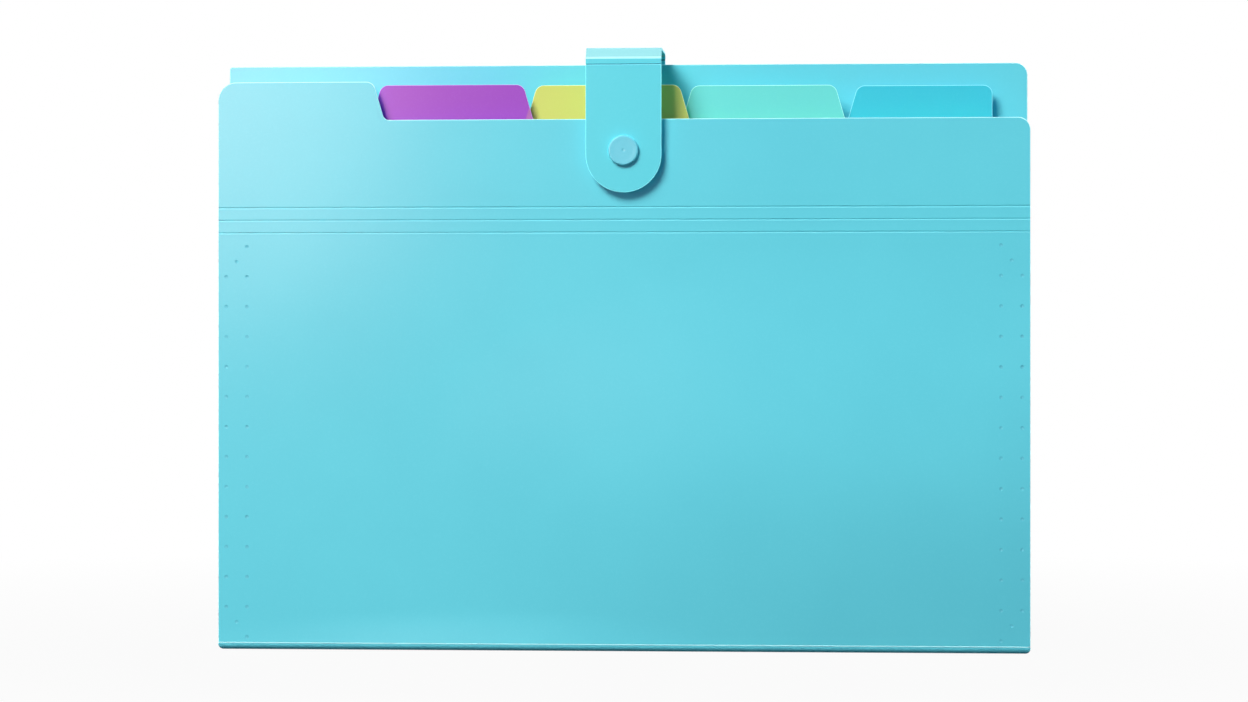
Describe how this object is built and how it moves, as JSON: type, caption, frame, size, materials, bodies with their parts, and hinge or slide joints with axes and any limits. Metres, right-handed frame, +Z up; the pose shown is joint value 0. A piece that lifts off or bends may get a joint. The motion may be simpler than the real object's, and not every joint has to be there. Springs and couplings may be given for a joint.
{
  "type": "expanding file folder",
  "caption": "Accordion file folder of tinted polypropylene sheet with tabbed dividers in colours, pleated side gussets, a scored front cover and a snap strap over the top.",
  "frame": {"origin": "middle of the spine's underside, on the surface that the folder stands on", "axes": "+X along the spine to the right as seen from the front, +Y from the front cover to the back cover, +Z up to the tabs"},
  "size_m": [0.33, 0.032, 0.2448],
  "materials": {
    "cover": "satin",
    "purple": "satin",
    "yellow": "satin",
    "mint": "satin",
    "blue": "satin",
    "gusset": "satin",
    "snap": "satin"
  },
  "bodies": {
    "back": {"back_cover": "cover", "bottom_spine": "cover", "front_fold": "cover", "strap_tail": "cover", "gusset_left_5": "gusset", "gusset_right_5": "gusset"},
    "blue_divider": {"divider_blue": "blue", "gusset_left_4": "gusset", "gusset_right_4": "gusset"},
    "mint_divider": {"divider_mint": "mint", "gusset_left_3": "gusset", "gusset_right_3": "gusset"},
    "yellow_divider": {"divider_yellow": "yellow", "gusset_left_2": "gusset", "gusset_right_2": "gusset"},
    "purple_divider": {"divider_purple": "purple", "gusset_left_1": "gusset", "gusset_right_1": "gusset"},
    "front": {"front_panel": "cover"},
    "lower_score_strip": {"score_strip_lower": "cover"},
    "upper_score_strip": {"score_strip_upper": "cover"},
    "flap": {"front_flap": "cover", "snap_stud": "snap", "snap_stud_cap": "snap"},
    "bridge": {"strap_bridge": "cover"},
    "strap": {"strap_front": "cover", "snap_cap": "snap", "snap_socket": "snap"}
  },
  "joints": [
    {"name": "pocket_5_open", "type": "hinge", "parent": "back", "child": "blue_divider", "pos_m": [0, -0.01305, 0.0028], "axis": [1, 0, 0], "range_deg": [0, 2.2], "deforming": ["gusset_left_5", "gusset_right_5"]},
    {"name": "pocket_4_open", "type": "hinge", "parent": "blue_divider", "child": "mint_divider", "pos_m": [0, -0.01305, 0.0028], "axis": [1, 0, 0], "range_deg": [0, 4.4], "deforming": ["gusset_left_4", "gusset_right_4"]},
    {"name": "pocket_3_open", "type": "hinge", "parent": "mint_divider", "child": "yellow_divider", "pos_m": [0, -0.01305, 0.0028], "axis": [1, 0, 0], "range_deg": [0, 4.4], "deforming": ["gusset_left_3", "gusset_right_3"]},
    {"name": "pocket_2_open", "type": "hinge", "parent": "yellow_divider", "child": "purple_divider", "pos_m": [0, -0.01305, 0.0028], "axis": [1, 0, 0], "range_deg": [0, 4.4], "deforming": ["gusset_left_2", "gusset_right_2"]},
    {"name": "pocket_1_open", "type": "hinge", "parent": "purple_divider", "child": "front", "pos_m": [0, -0.01305, 0.0028], "axis": [1, 0, 0], "range_deg": [0, 2.2], "deforming": ["gusset_left_1", "gusset_right_1"]},
    {"name": "strap_lift", "type": "hinge", "parent": "back", "child": "bridge", "pos_m": [0, 0.01385, 0.242], "axis": [-1, 0, 0], "range_deg": [0, 176]},
    {"name": "strap_flip", "type": "hinge", "parent": "bridge", "child": "strap", "pos_m": [0, -0.01665, 0.2379], "axis": [-1, 0, 0], "range_deg": [0, 150]},
    {"name": "flap_fold", "type": "hinge", "parent": "front", "child": "flap", "pos_m": [0, -0.01395, 0.1751], "axis": [1, 0, 0], "range_deg": [0, 60]},
    {"name": "score_low", "type": "hinge", "parent": "front", "child": "lower_score_strip", "pos_m": [0, -0.01305, 0.17], "axis": [1, 0, 0], "range_deg": [0, 20]},
    {"name": "score_top", "type": "hinge", "parent": "flap", "child": "upper_score_strip", "pos_m": [0, -0.01305, 0.1802], "axis": [-1, 0, 0], "range_deg": [0, 20]}
  ],
  "couplings": [
    {"joint": "pocket_5_open", "follows": "pocket_3_open", "ratio": 0.5},
    {"joint": "pocket_4_open", "follows": "pocket_3_open", "ratio": 1},
    {"joint": "pocket_2_open", "follows": "pocket_3_open", "ratio": 1},
    {"joint": "pocket_1_open", "follows": "pocket_3_open", "ratio": 0.5},
    {"joint": "strap_lift", "follows": "pocket_3_open", "ratio": 40},
    {"joint": "score_low", "follows": "flap_fold", "ratio": 0.33333},
    {"joint": "score_top", "follows": "flap_fold", "ratio": 0.33333},
    {"joint": "strap_flip", "follows": "flap_fold", "ratio": 2.5}
  ]
}
